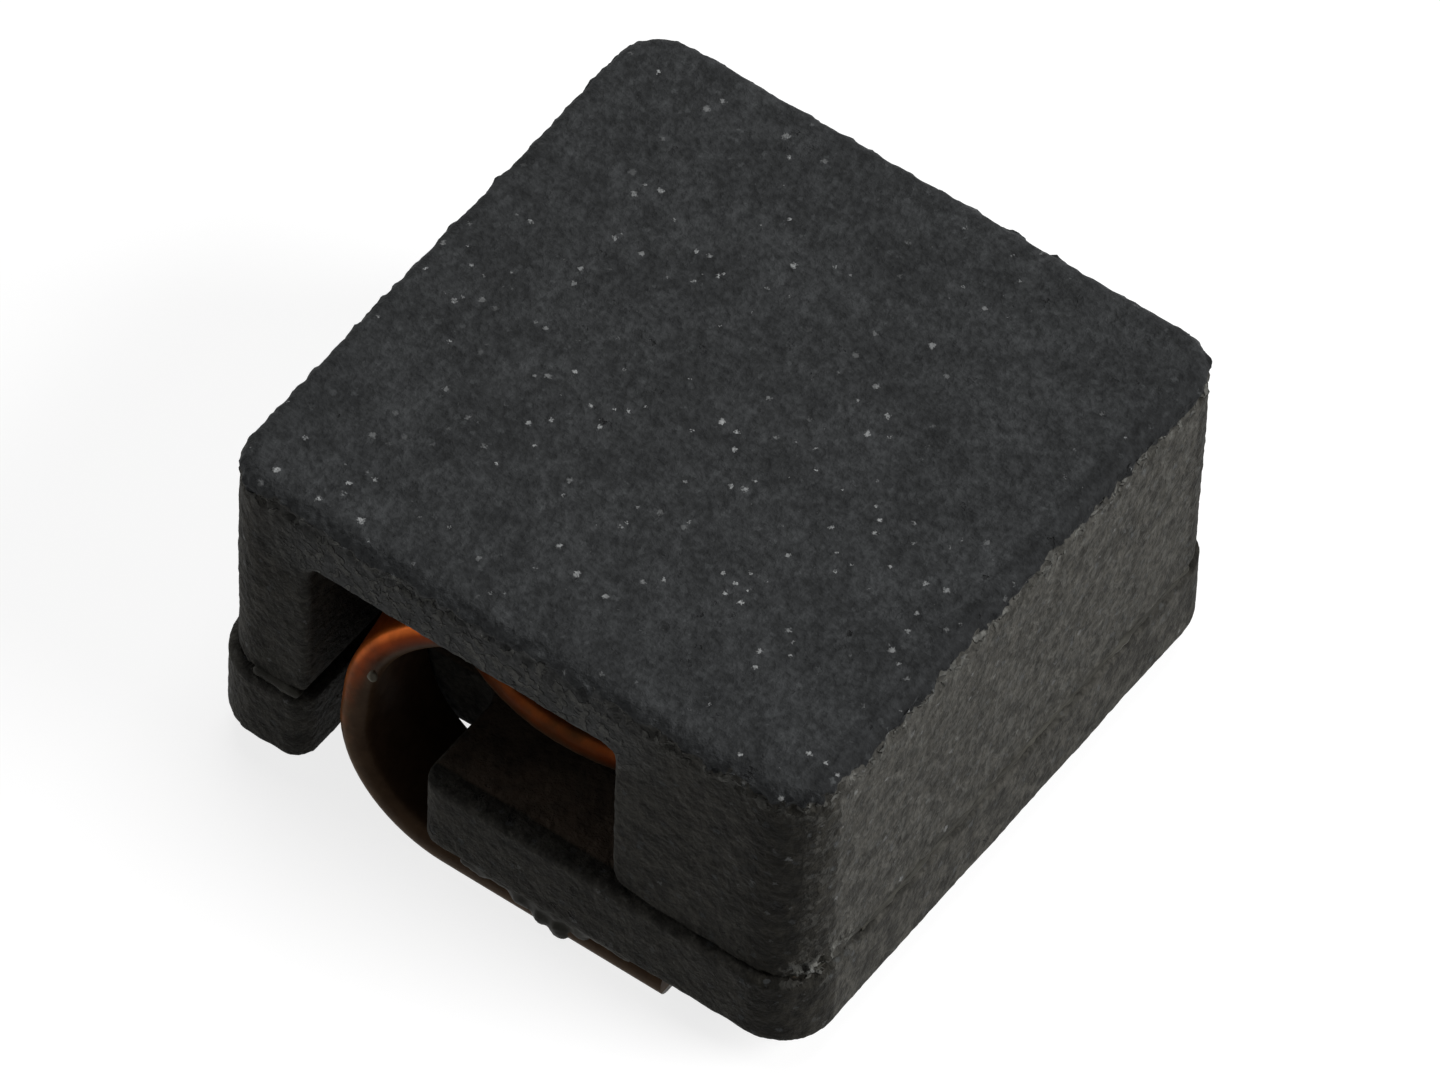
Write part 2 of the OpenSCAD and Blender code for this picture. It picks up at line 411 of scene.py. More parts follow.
class Graph:
    """Nodes of a material or a group, with short calls for adding them."""

    def __init__(self, tree: bpy.types.NodeTree) -> None:
        """Starts on a tree."""
        self.tree = tree

    def give(self, node: Any, key: Any, value: Any) -> None:
        """Sets or links one input of a node.

        Args:
            node: The node.
            key: Name or number of the input.
            value: An output to link, or the input's plain value.
        """
        socket = node.inputs[key]
        if isinstance(value, bpy.types.NodeSocket):
            self.tree.links.new(value, socket)
        elif socket.type == "RGBA":
            socket.default_value = (*value, 1.0)
        else:
            socket.default_value = value

    def add(self, kind: str, inputs: Mapping[Any, Any] | None = None, **settings: Any) -> Any:
        """Adds a node.

        Args:
            kind: Type of the node.
            inputs: Value or output for each named or numbered input.
            **settings: The node's own settings.

        Returns:
            The node.
        """
        node = self.tree.nodes.new(kind)
        for key, value in settings.items():
            setattr(node, key, value)
        for key, value in (inputs or {}).items():
            self.give(node, key, value)
        return node

    def math(self, operation: str, *values: Any, clamp: bool = False) -> Any:
        """Adds a Math node.

        Args:
            operation: What it does.
            *values: Its inputs in order.
            clamp: Whether the result is kept from 0 to 1.

        Returns:
            Its output.
        """
        inputs = dict(enumerate(values))
        return self.add("ShaderNodeMath", inputs, operation=operation, use_clamp=clamp).outputs[0]

    def plus(self, first: Any, second: Any) -> Any:
        """Returns the sum of two values."""
        return self.math("ADD", first, second)

    def minus(self, first: Any, second: Any) -> Any:
        """Returns the first value less the second."""
        return self.math("SUBTRACT", first, second)

    def times(self, first: Any, second: Any) -> Any:
        """Returns the product of two values."""
        return self.math("MULTIPLY", first, second)

    def rest(self, share: Any) -> Any:
        """Returns what a share leaves of 1."""
        return self.math("SUBTRACT", 1.0, share)

    def around(self, middle: float, shade: Any, spread: float = 0.1) -> Any:
        """Returns a value that lies by up to the spread around its middle, as a shade has it."""
        return self.plus(self.times(shade, 2 * spread), middle - spread)

    def step(self, value: Any, start: float, end: float) -> Any:
        """Makes a smooth step.

        Args:
            value: The value to step on.
            start: Value at which the step is still 0.
            end: Value from which it is 1.

        Returns:
            The step's output.
        """
        inputs = {"Value": value, "From Min": start, "From Max": end}
        node = self.add("ShaderNodeMapRange", inputs, interpolation_type="SMOOTHSTEP")
        return node.outputs["Result"]

    def mix(self, share: Any, first: Any, second: Any, blend: str = "MIX") -> Any:
        """Mixes two colours.

        Args:
            share: Share of the second colour.
            first: First colour.
            second: Second colour.
            blend: How they blend.

        Returns:
            The mixed colour.
        """
        inputs = {0: share, 6: first, 7: second}
        return self.add("ShaderNodeMix", inputs, data_type="RGBA", blend_type=blend).outputs[2]

    def tint(self, colour: Any, by: Any) -> Any:
        """Returns a colour multiplied by another."""
        return self.mix(1.0, colour, by, "MULTIPLY")

    def vary(self, share: Any, colour: Colour, dark: float, light: float) -> Any:
        """Mixes a dark and a light tone of one colour.

        Args:
            share: Share of the light tone.
            colour: The colour.
            dark: What the dark tone is times the colour.
            light: What the light tone is times the colour.

        Returns:
            The mixed colour.
        """
        return self.mix(share, tone(colour, dark), tone(colour, light))

    def texture(self, vector: Any, scale: Any, detail: float, rough: float) -> Any:
        """Adds a noise texture.

        Args:
            vector: Place of the point.
            scale: Grains in one metre.
            detail: Number of its finer layers.
            rough: Weight of the finer layers.

        Returns:
            Its outputs.
        """
        inputs = {"Vector": vector, "Scale": scale, "Detail": detail, "Roughness": rough}
        return self.add("ShaderNodeTexNoise", inputs).outputs

    def noise(self, vector: Any, grain: float, detail: float = 3.0, rough: float = 0.55) -> Any:
        """Returns the shade of a noise whose grain has that size in metres."""
        return self.texture(vector, 1 / grain, detail, rough)["Fac"]

    def place_at(self) -> Any:
        """Returns the place of the point on its piece, in metres."""
        return self.add("ShaderNodeTexCoord").outputs["Object"]

    def mark(self, name: str) -> Any:
        """Returns a value that the piece's points carry."""
        return self.add("ShaderNodeAttribute", attribute_name=name).outputs["Fac"]

    def group(self, tree: bpy.types.NodeTree, **inputs: Any) -> Any:
        """Places a node group and returns its outputs."""
        return self.add("ShaderNodeGroup", inputs, node_tree=tree).outputs

    def cover(
        self,
        shader: Any,
        inputs: Mapping[str, Any],
        specular: float,
        height: Any,
        depth: float,
        strength: float,
    ) -> None:
        """Ends a finish: feeds the shader and gives it its fine relief.

        Args:
            shader: The material's Principled BSDF.
            inputs: Output for each input that changes over the surface.
            specular: Its specular level.
            height: Height of the relief.
            depth: Depth in metres that the height stands for.
            strength: Strength of the relief.
        """
        relief = {"Height": height, "Distance": depth, "Strength": strength}
        bump = self.add("ShaderNodeBump", relief)
        for key, value in {**inputs, "Normal": bump.outputs["Normal"]}.items():
            self.give(shader, key, value)
        shader.inputs["Specular IOR Level"].default_value = specular


class SharedGroups:
    """Surface effects that more than one finish uses, each built once."""

    _built: dict[str, bpy.types.NodeTree] = {}
    coarse_scale = 0.14
    cell_scale = 0.7
    cell_depth = 0.5
    rag_scale = 1.3
    rag_reach = 2.2
    least_size = 0.35
    size_spread = 0.9
    rim_contrast = 2.5

    @classmethod
    def _new(
        cls, name: str, inputs: Mapping[str, float | None], outputs: Iterable[str]
    ) -> tuple[Graph, Any, Any]:
        """Starts a group.

        Args:
            name: Name of the group.
            inputs: Default of each input, or None for a vector.
            outputs: Names of the outputs.

        Returns:
            Its graph, what it is given and its output node.
        """
        tree = bpy.data.node_groups.new(name, "ShaderNodeTree")
        for key, default in inputs.items():
            kind = "NodeSocketVector" if default is None else "NodeSocketFloat"
            socket = tree.interface.new_socket(key, in_out="INPUT", socket_type=kind)
            if default is not None:
                socket.default_value = default
        for key in outputs:
            tree.interface.new_socket(key, in_out="OUTPUT", socket_type="NodeSocketFloat")
        graph = Graph(tree)
        cls._built[name] = tree
        return graph, graph.add("NodeGroupInput").outputs, graph.add("NodeGroupOutput")

    @classmethod
    def grain(cls) -> bpy.types.NodeTree:
        """Grain of a pressed or cast surface.

        Returns:
            A group that takes a place and a grain size in metres, and gives a coarse tone,
            a fine tone and a height.
        """
        name = "Surface grain"
        if name not in cls._built:
            graph, given, out = cls._new(
                name, {"Vector": None, "Size": 0.0001}, ("Coarse", "Fine", "Height")
            )
            scale = graph.math("DIVIDE", 1.0, given["Size"])
            coarse_scale = graph.times(scale, cls.coarse_scale)
            coarse = graph.texture(given["Vector"], coarse_scale, 4.0, 0.6)["Fac"]
            fine = graph.texture(given["Vector"], scale, 3.0, 0.6)["Fac"]
            cells = graph.add(
                "ShaderNodeTexVoronoi",
                {"Vector": given["Vector"], "Scale": graph.times(scale, cls.cell_scale)},
                feature="SMOOTH_F1",
            ).outputs["Distance"]
            height = graph.minus(fine, graph.times(cells, cls.cell_depth))
            for key, value in (("Coarse", coarse), ("Fine", fine), ("Height", height)):
                graph.give(out, key, value)
        return cls._built[name]

    @classmethod
    def specks(cls) -> bpy.types.NodeTree:
        """Scattered specks with ragged rims.

        Returns:
            A group that takes a place, a spacing and a size in metres and the share of cells
            that hold a speck, and gives a mask and a shade for each speck.
        """
        name = "Scattered specks"
        if name not in cls._built:
            graph, given, out = cls._new(
                name,
                {"Vector": None, "Spacing": 0.0003, "Size": 0.00004, "Share": 0.1},
                ("Mask", "Shade"),
            )

            def vector_math(operation: str, inputs: Mapping[Any, Any]) -> Any:
                """Adds a Vector Math node and returns its output."""
                return graph.add("ShaderNodeVectorMath", inputs, operation=operation).outputs[0]

            fineness = graph.math("DIVIDE", cls.rag_scale, given["Size"])
            ragged = graph.texture(given["Vector"], fineness, 2.0, 0.5)["Color"]
            shift = vector_math("SUBTRACT", {0: ragged, 1: (0.5, 0.5, 0.5)})
            push = graph.times(given["Size"], cls.rag_reach)
            shift = vector_math("SCALE", {0: shift, "Scale": push})
            moved = vector_math("ADD", {0: given["Vector"], 1: shift})
            density = graph.math("DIVIDE", 1.0, given["Spacing"])
            cells = graph.add("ShaderNodeTexVoronoi", {"Vector": moved, "Scale": density}).outputs
            chance = graph.add("ShaderNodeSeparateColor", {"Color": cells["Color"]}).outputs
            held = graph.math("LESS_THAN", chance["Red"], given["Share"])
            away = graph.times(cells["Distance"], given["Spacing"])
            spread = graph.plus(graph.times(chance["Green"], cls.size_spread), cls.least_size)
            reach = graph.times(given["Size"], spread)
            spot = graph.math("SUBTRACT", 1.0, graph.math("DIVIDE", away, reach), clamp=True)
            spot = graph.math("MULTIPLY", spot, cls.rim_contrast, clamp=True)
            graph.give(out, "Mask", graph.times(spot, held))
            graph.give(out, "Shade", chance["Blue"])
        return cls._built[name]


def new_material(name: str) -> tuple[bpy.types.Material, Graph, Any]:
    """Starts a material.

    Args:
        name: Name of the material.

    Returns:
        The material, its graph and its Principled BSDF.
    """
    material = bpy.data.materials.new(name)
    material.use_nodes = True
    graph = Graph(material.node_tree)
    shader = next(n for n in material.node_tree.nodes if n.type == "BSDF_PRINCIPLED")
    return material, graph, shader


def dress(obj: bpy.types.Object, material: bpy.types.Material) -> None:
    """Gives a piece one material all over."""
    obj.data.materials.clear()
    obj.data.materials.append(material)


@dataclass(frozen=True)
class Spots:
    """Scattered spots: their spacing and size in metres and the share of places with one."""

    spacing: float
    size: float
    share: float

    def mask(self, graph: Graph, place_at: Any) -> Any:
        """Places the spots in a material.

        Args:
            graph: The material's graph.
            place_at: Place of the point.

        Returns:
            A mask of the spots, each of its own strength.
        """
        sizes = {"Spacing": self.spacing, "Size": self.size, "Share": self.share}
        spots = graph.group(SharedGroups.specks(), Vector=place_at, **sizes)
        return graph.times(spots["Mask"], spots["Shade"])


@dataclass(frozen=True)
class Patches:
    """Cloudy patches: grain in metres, finer layers, their weight, and shades they lie between."""

    grain: float
    detail: float
    rough: float
    start: float
    end: float

    def mask(self, graph: Graph, place_at: Any) -> Any:
        """Places the patches in a material.

        Args:
            graph: The material's graph.
            place_at: Place of the point.

        Returns:
            A mask of the patches with soft rims.
        """
        shade = graph.noise(place_at, self.grain, self.detail, self.rough)
        return graph.step(shade, self.start, self.end)


@dataclass(frozen=True)
class PressedPowder:
    """Finish of the pressed powder cores: matt charcoal with scraped, lighter sides.

    Lengths are in metres. A share says how strongly its mask works on the colour. The
    piece's points carry five values: scuff, pale, corner, inner and floor. Corner sets
    painted shade at the upright corners, inner painted shade on the inner faces, and floor
    a painted brown glow of light thrown from the coil onto the lower core's floor.
    """

    top_z: float
    side_z: float
    face: Colour = (0.026, 0.0272, 0.028)
    shoulder: Colour = (0.013, 0.0136, 0.0142)
    side: Colour = (0.033, 0.0315, 0.0275)
    scrape: Colour = (0.07, 0.068, 0.061)
    crumb: Colour = (0.13, 0.13, 0.12)
    pale: Colour = (0.085, 0.088, 0.09)
    speck: Colour = (0.42, 0.43, 0.43)
    dust: Colour = (0.085, 0.09, 0.092)
    # Painted light: coil_bounce is the brown glow that light thrown from the coil gives the shaded
    # floor of the lower core.
    coil_bounce: Colour = (0.115, 0.088, 0.066)
    pit: Colour = (0.006, 0.006, 0.006)
    # Painted shade: corner_shade darkens the upright corners, where the faces turn away from the
    # light.
    corner_shade: Colour = (0.37, 0.36, 0.34)
    # Painted shade: inner_shade darkens the faces inside the core.
    inner_shade: Colour = (0.34, 0.3, 0.26)
    bright_spots: Spots = Spots(0.00018, 0.000035, 0.6)
    dust_spots: Spots = Spots(0.00012, 0.00004, 0.55)
    pit_spots: Spots = Spots(0.00021, 0.00006, 0.3)
    clusters: Patches = Patches(0.0019, 2.0, 0.55, 0.36, 0.6)
    blotches: Patches = Patches(0.0002, 4.0, 0.7, 0.4, 0.6)
    scrapes: Patches = Patches(0.00016, 4.0, 0.6, 0.38, 0.6)
    crumb_patches: Patches = Patches(0.00013, 2.0, 0.6, 0.5, 0.58)
    clouds: Patches = Patches(0.00019, 3.0, 0.6, 0.36, 0.64)
    grain: float = 0.00007
    corner_grain: float = 0.00014
    roughness: float = 0.7
    specular: float = 0.06
    relief: float = 3.2e-5
    jag_grains: tuple[float, float] = (0.00018, 0.0005)
    jag_heights: tuple[float, float] = (0.00026, 0.00034)
    jag_middle: float = 0.0003
    dust_share: float = 0.5
    pit_share: float = 0.6
    crumb_share: float = 0.75
    shelter_share: float = 0.75
    rubbed_share: float = 0.6
    rubbed_light: float = 1.7
    scraped_share: float = 0.16
    crest_share: float = 0.5
    scuff_share: float = 0.45
    pale_share: float = 0.6
    corner_share: float = 0.9
    corner_wander: float = 0.9
    speck_gloss: float = 0.25
    speck_height: float = 0.4
    crumb_height: float = 0.9
    pit_depth: float = 0.8
    side_edge: float = 1e-5
    face_edge: tuple[float, float] = (1e-4, 2.5e-5)
    side_fade: tuple[float, float] = (0.00055, 0.00008)
    rubbed_x: tuple[float, float] = (0.0031, 0.0033)

    def material(self, name: str) -> bpy.types.Material:
        """Builds the finish.

        Args:
            name: Name of the material.

        Returns:
            The material.
        """
        material, graph, shader = new_material(name)
        place_at = graph.place_at()
        grain = graph.group(SharedGroups.grain(), Vector=place_at, Size=self.grain)
        colour, crumbs, below = self._tones(graph, place_at, grain)
        bright = self.bright_spots.mask(graph, place_at)
        dusty = self.dust_spots.mask(graph, place_at)
        pits = self.pit_spots.mask(graph, place_at)
        open_air = graph.rest(graph.times(below, self.shelter_share))
        thick = self.clusters.mask(graph, place_at)
        bright = graph.times(bright, graph.times(open_air, thick))
        colour = graph.mix(graph.times(dusty, self.dust_share), colour, self.dust)
        colour = graph.mix(graph.times(pits, self.pit_share), colour, self.pit)
        colour = graph.mix(bright, colour, self.speck)
        # Painted shade on the faces inside the core.
        colour = graph.mix(graph.mark("inner"), colour, self.inner_shade, "MULTIPLY")
        # Painted light: the lower core's floor takes the brown glow of light thrown from the coil,
        # in patches.
        coil_bounce_share = graph.times(graph.mark("floor"), graph.step(grain["Coarse"], 0.2, 0.6))
        colour = graph.mix(coil_bounce_share, colour, self.coil_bounce)
        rough = graph.around(self.roughness, grain["Fine"])
        rough = graph.minus(rough, graph.times(bright, self.speck_gloss))
        height = graph.plus(grain["Height"], graph.times(crumbs, self.crumb_height))
        height = graph.plus(height, graph.times(bright, self.speck_height))
        height = graph.minus(height, graph.times(pits, self.pit_depth))
        inputs = {"Base Color": colour, "Roughness": rough}
        graph.cover(shader, inputs, self.specular, height, self.relief, 1.0)
        return material

    def _tones(self, graph: Graph, place_at: Any, grain: Any) -> tuple[Any, Any, Any]:
        """Mixes the tones of the top, the shoulder and the sides.

        Args:
            graph: The material's graph.
            place_at: Place of the point.
            grain: Outputs of the grain group.

        Returns:
            The colour, a mask of the light crumbs on scuffed edges and one of the sides.
        """
        axes = graph.add("ShaderNodeSeparateXYZ", {"Vector": place_at}).outputs
        fine, broad = (
            graph.times(graph.noise(place_at, grain_size, 2.0), height)
            for grain_size, height in zip(self.jag_grains, self.jag_heights)
        )
        ragged = graph.plus(axes["Z"], graph.minus(graph.plus(fine, broad), self.jag_middle))
        start, end = self.side_z - self.side_edge, self.side_z + self.side_edge
        below = graph.rest(graph.step(ragged, start, end))
        start, end = (self.top_z - depth for depth in self.face_edge)
        rubbed = graph.step(axes["X"], *self.rubbed_x)
        flat = graph.step(axes["Z"], start, end)
        flat = graph.times(flat, graph.rest(graph.times(rubbed, self.rubbed_share)))
        face = graph.vary(graph.step(grain["Coarse"], 0.35, 0.65), self.face, 0.84, 1.16)
        shoulder = graph.mix(rubbed, tone(self.face, self.rubbed_light), self.shoulder)
        colour = graph.mix(flat, shoulder, face)
        scuff = graph.mark("scuff")
        colour = graph.mix(below, colour, self._side(graph, place_at, ragged, scuff))
        crumbs = self.crumb_patches.mask(graph, place_at)
        crumbs = graph.times(graph.times(scuff, crumbs), below)
        colour = graph.mix(graph.times(crumbs, self.crumb_share), colour, self.crumb)
        mottle = graph.vary(graph.step(grain["Fine"], 0.3, 0.7), WHITE, 0.74, 1.36)
        clouds = graph.vary(self.clouds.mask(graph, place_at), WHITE, 0.84, 1.16)
        mottle = graph.tint(mottle, clouds)
        return graph.tint(colour, mottle), crumbs, below

    def _side(self, graph: Graph, place_at: Any, ragged: Any, scuff: Any) -> Any:
        """Mixes the tone of the sides.

        Args:
            graph: The material's graph.
            place_at: Place of the point.
            ragged: Height of the point, ragged by the jags of the shoulder's rim.
            scuff: How scuffed the place is.

        Returns:
            The colour.
        """
        start, end = (self.side_z - depth for depth in self.side_fade)
        fade = graph.step(ragged, start, end)
        side = graph.vary(self.blotches.mask(graph, place_at), self.side, 0.55, 1.4)
        scraped = graph.plus(graph.times(fade, self.crest_share), self.scraped_share)
        scraped = graph.times(scraped, self.scrapes.mask(graph, place_at))
        side = graph.mix(scraped, side, self.scrape)
        side = graph.mix(graph.times(scuff, self.scuff_share), side, self.scrape)
        side = graph.mix(graph.times(graph.mark("pale"), self.pale_share), side, self.pale)
        # Painted shade at the upright corners, with a wandering rim.
        sharp = graph.minus(graph.noise(place_at, self.corner_grain, 2.0), 0.5)
        corner = graph.plus(graph.mark("corner"), graph.times(sharp, self.corner_wander))
        corner = graph.times(graph.step(corner, 0.35, 0.65), self.corner_share)
        return graph.mix(corner, side, self.corner_shade, "MULTIPLY")


@dataclass(frozen=True)
class EnamelledCopper:
    """Finish of the flat wire: copper under clear enamel, dull and tinned at its ends. It carries
    a painted highlight and sheen on the outer side of its edge and painted shade on its broad
    and inner faces and in the coil.

    Lengths are in metres. The wire's points carry three values: inner, from -1 on its
    outer face to 1 on its inner one, edge and dull.
    """

    tin_z: float
    # Painted light: bright is a painted highlight on the outer side of the wire's edge, deep
    # painted shade on the rest of it and on the broad faces, shade painted shade on the inner
    # face. Dull is the duller tone towards the terminals and, in the coil, painted shade.
    bright: Colour = (0.8, 0.19, 0.035)
    deep: Colour = (0.22, 0.036, 0.003)
    shade: Colour = (0.075, 0.045, 0.026)
    dull: Colour = (0.1, 0.056, 0.02)
    tin: Colour = (0.5, 0.48, 0.45)
    dark_patch: Colour = (0.8, 0.78, 0.76)
    light_patch: Colour = (1.12, 1.12, 1.12)
    grain: float = 0.00012
    streak: float = 0.0005
    patches: Patches = Patches(0.00022, 4.0, 0.6, 0.35, 0.65)
    tin_wander: float = 0.00012
    tin_edge: float = 3e-5
    inner_wander: float = 0.3
    dull_wander: float = 0.9
    broad_share: float = 0.9
    least_shine: float = 0.08
    outer_shine: float = 0.5
    dull_share: float = 0.7
    roughness: float = 0.4
    specular: float = 0.03
    relief: float = 6e-6

    def material(self, name: str) -> bpy.types.Material:
        """Builds the finish.

        Args:
            name: Name of the material.

        Returns:
            The material.
        """
        material, graph, shader = new_material(name)
        place_at = graph.place_at()
        grain = graph.group(SharedGroups.grain(), Vector=place_at, Size=self.grain)
        drift = graph.minus(graph.noise(place_at, self.streak, 4.0, 0.6), 0.5)
        inner = graph.plus(graph.mark("inner"), graph.times(drift, self.inner_wander))
        edge = graph.mark("edge")
        # Painted highlight on the outer side of the wire's edge, painted shade beyond it.
        colour = graph.mix(graph.step(inner, -1.05, -0.35), self.bright, self.deep)
        # Painted shade on the wire's broad faces.
        broad = graph.times(graph.rest(edge), self.broad_share)
        colour = graph.mix(broad, colour, self.deep)
        # Painted shade on the wire's inner face.
        colour = graph.mix(graph.step(inner, -0.3, 0.6), colour, self.shade)
        # Duller towards the terminals; in the coil this dulling is painted shade, and its inner
        # side takes the painted shade colour.
        dulled = graph.plus(graph.mark("dull"), graph.times(drift, self.dull_wander))
        dulled = graph.step(dulled, 0.2, 0.8)
        dulled_colour = graph.mix(graph.step(inner, -0.8, 0.5), self.dull, self.shade)
        colour = graph.mix(dulled, colour, dulled_colour)
        patches = self.patches.mask(graph, place_at)
        colour = graph.tint(colour, graph.mix(patches, self.dark_patch, self.light_patch))
        height_at = graph.add("ShaderNodeSeparateXYZ", {"Vector": place_at}).outputs["Z"]
        height_at = graph.plus(height_at, graph.times(drift, self.tin_wander))
        bare = graph.step(height_at, self.tin_z, self.tin_z + self.tin_edge)
        colour = graph.mix(graph.rest(bare), colour, self.tin)
        # Painted sheen: the wire is metal only on the outer side of its edge, where it mirrors the
        # white surroundings, less in the coil and where dulled.
        shine = graph.rest(graph.step(inner, -1.0, 0.3))
        shine = graph.plus(graph.times(shine, self.outer_shine), self.least_shine)
        shine = graph.times(shine, edge)
        shine = graph.times(shine, graph.rest(graph.times(dulled, self.dull_share)))
        rough = graph.around(self.roughness, grain["Coarse"])
        inputs = {"Base Color": colour, "Metallic": shine, "Roughness": rough}
        graph.cover(shader, inputs, self.specular, grain["Height"], self.relief, 0.6)
        return material


@dataclass(frozen=True)
class CuredAdhesive:
    """Finish of the adhesive: dull film with a little powder in it. Lengths are in metres."""

    colour: Colour = (0.026, 0.025, 0.021)
    dusty: Colour = (0.055, 0.053, 0.044)
    grain: float = 0.0001
    roughness: float = 0.5
    specular: float = 0.08
    relief: float = 8e-6

    def material(self, name: str) -> bpy.types.Material:
        """Builds the finish.

        Args:
            name: Name of the material.

        Returns:
            The material.
        """
        material, graph, shader = new_material(name)
        place_at = graph.place_at()
        grain = graph.group(SharedGroups.grain(), Vector=place_at, Size=self.grain)
        colour = graph.mix(graph.step(grain["Coarse"], 0.4, 0.7), self.colour, self.dusty)
        rough = graph.around(self.roughness, grain["Fine"])
        inputs = {"Base Color": colour, "Roughness": rough}
        graph.cover(shader, inputs, self.specular, grain["Height"], self.relief, 0.7)
        return material


# ---------------------------------------------------------------- pieces


def reach_of(co: np.ndarray) -> np.ndarray:
    """Returns how far points lie from the middle axis, along x or y."""
    return np.abs(co[:, :2]).max(axis=1)


def near_corner(co: np.ndarray) -> np.ndarray:
    """Returns how near points lie to an upright corner of the front or back, from 0 to 1."""
    x, y = np.abs(co[:, :2]).T
    return ramp(x, 2.6, 3.1) * ramp(y, 2.9, 3.02)


def chipped(co: np.ndarray) -> np.ndarray:
    """Tells how chipped each point is by the seam at the near corner.

    Args:
        co: Points, in millimetres.

    Returns:
        A share from 0 to 1 for each point.
    """
    centre, size = (3.42, -3.05, 1.4), (0.3, 0.45, 0.22)
    return ramp(np.linalg.norm((co - centre) / size, axis=1), 1.3, 0.3)


@dataclass
class Window:
    """Opening of the upper core, the same on both faces."""

    x0: float = -2.42
    x1: float = 1.23
    corner: float = 0.15
    rim: float = 0.07
    foot: float = 0.2


